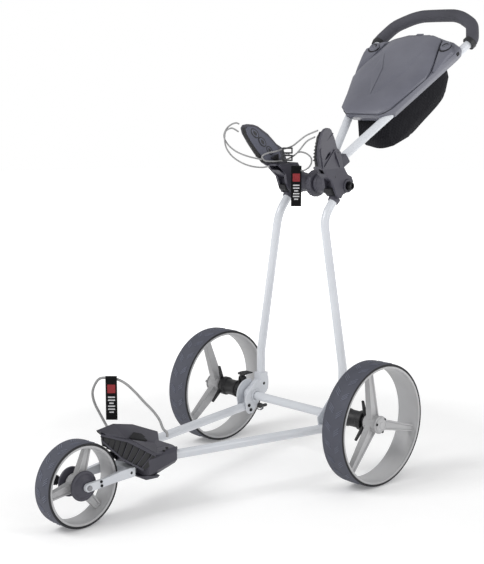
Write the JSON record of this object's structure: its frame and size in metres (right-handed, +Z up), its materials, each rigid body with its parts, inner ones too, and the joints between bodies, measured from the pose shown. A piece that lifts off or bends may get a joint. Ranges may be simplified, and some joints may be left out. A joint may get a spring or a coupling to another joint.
{
  "type": "golf push cart",
  "caption": "Folding three-wheeled golf push cart with splayed cradle arms, a lidded console over a net pocket and an arched grip.",
  "frame": {"origin": "on the ground under the middle of the bounding box", "axes": "+Z up, the front wheel towards -Y, the handle towards +Y, the pusher's left towards +X"},
  "size_m": [0.604, 1.384, 1.1514],
  "materials": {
    "white_paint": "satin",
    "dark_plastic": "satin",
    "console_plastic": "satin",
    "black_plastic": "satin",
    "bolt_steel": "blackened",
    "axle_steel": "satin",
    "rim_plastic": "satin",
    "tyre_rubber": "matte",
    "grip_foam": "matte foam",
    "net_fabric": "net",
    "cord_fabric": "woven",
    "tag_fabric": "woven"
  },
  "bodies": {
    "chassis": {"cross_tube": "white_paint", "lower_cradle": "dark_plastic", "front_casting": "white_paint", "front_axle": "axle_steel", "lower_cord": "cord_fabric", "tag_lower": "tag_fabric", "v_tube_left": "white_paint", "v_tube_right": "white_paint", "hinge_plate_inner_left": "white_paint", "hinge_plate_inner_right": "white_paint", "hinge_plate_outer_left": "white_paint", "hinge_plate_outer_right": "white_paint", "stub_axle_left": "axle_steel", "stub_axle_right": "axle_steel", "axle_housing_left": "black_plastic", "axle_housing_right": "black_plastic", "fork_arm_left": "white_paint", "fork_arm_right": "white_paint", "axle_cover_left": "dark_plastic", "axle_cover_right": "dark_plastic"},
    "wheel_left": {"tyre_left": "tyre_rubber", "rim_left": "rim_plastic", "hub_cap_left": "rim_plastic", "wheel_star_left": "black_plastic"},
    "wheel_right": {"tyre_right": "tyre_rubber", "rim_right": "rim_plastic", "hub_cap_right": "rim_plastic", "wheel_star_right": "black_plastic"},
    "wheel_front": {"tyre_front": "tyre_rubber", "rim_front": "rim_plastic"},
    "mast": {"upright_left": "white_paint", "upright_right": "white_paint", "upright_foot_left": "white_paint", "upright_foot_right": "white_paint", "foot_bolt_left": "bolt_steel", "foot_bolt_right": "bolt_steel", "upper_bracket_left": "dark_plastic", "upper_bracket_right": "dark_plastic", "cradle_arm_left": "dark_plastic", "cradle_arm_right": "dark_plastic", "hinge_bolt": "bolt_steel", "cord_buckle": "dark_plastic", "upper_cord_bow_a": "cord_fabric", "upper_cord_bow_b": "cord_fabric", "upper_cord_span": "cord_fabric", "upper_cord_tail": "cord_fabric", "tag_upper": "tag_fabric"},
    "handle": {"handle_knuckle": "dark_plastic", "handle_grip": "grip_foam", "console_base": "console_plastic", "net_bag": "net_fabric", "handle_tube_left": "white_paint", "handle_tube_right": "white_paint"},
    "lid": {"console_lid": "console_plastic"},
    "lid_button": {"lid_latch": "console_plastic"},
    "cap_left": {"console_cap_left": "console_plastic"},
    "cap_right": {"console_cap_right": "console_plastic"},
    "fold_lever": {"fold_latch_lever": "black_plastic"},
    "brake": {"brake_lever": "black_plastic"},
    "knob": {"tracking_knob": "black_plastic"}
  },
  "joints": [
    {"name": "wheel_left_spin", "type": "hinge", "parent": "chassis", "child": "wheel_left", "pos_m": [0.26975, 0.08885, 0.15], "axis": [1, 0, 0], "continuous": true},
    {"name": "wheel_right_spin", "type": "hinge", "parent": "chassis", "child": "wheel_right", "pos_m": [-0.26975, 0.08885, 0.15], "axis": [1, 0, 0], "continuous": true},
    {"name": "wheel_front_spin", "type": "hinge", "parent": "chassis", "child": "wheel_front", "pos_m": [0, -0.59555, 0.0965], "axis": [1, 0, 0], "continuous": true},
    {"name": "frame_fold", "type": "hinge", "parent": "chassis", "child": "mast", "pos_m": [0, 0.08885, 0.144], "axis": [1, 0, 0], "range_deg": [0, 66]},
    {"name": "handle_fold", "type": "hinge", "parent": "mast", "child": "handle", "pos_m": [0, 0.18585, 0.704], "axis": [1, 0, 0], "range_deg": [-95, 20]},
    {"name": "lid_hinge", "type": "hinge", "parent": "handle", "child": "lid", "pos_m": [0, 0.35203, 0.87454], "axis": [1, 0, 0], "range_deg": [0, 105]},
    {"name": "lid_button_press", "type": "slide", "parent": "handle", "child": "lid_button", "axis": [0, -0.7638, -0.6455], "range_m": [0, 0.004], "stiffness_N_per_m": 400},
    {"name": "cap_left_twist", "type": "hinge", "parent": "handle", "child": "cap_left", "pos_m": [0.12, 0.54457, 1.04642], "axis": [0, -0.6455, 0.7638], "range_deg": [0, 90]},
    {"name": "cap_right_twist", "type": "hinge", "parent": "handle", "child": "cap_right", "pos_m": [-0.12, 0.54457, 1.04642], "axis": [0, -0.6455, 0.7638], "range_deg": [0, 90]},
    {"name": "fold_lever_pull", "type": "hinge", "parent": "chassis", "child": "fold_lever", "pos_m": [-0.121, 0.09885, 0.116], "axis": [1, 0, 0], "range_deg": [-25, 0], "stiffness_Nm_per_rad": 0.3},
    {"name": "brake_pedal", "type": "hinge", "parent": "chassis", "child": "brake", "pos_m": [-0.176, 0.08885, 0.183], "axis": [1, 0, 0], "range_deg": [-15, 0]},
    {"name": "tracking_turn", "type": "hinge", "parent": "chassis", "child": "knob", "pos_m": [-0.05, -0.61755, 0.0985], "axis": [1, 0, 0], "range_deg": [-90, 90]}
  ]
}
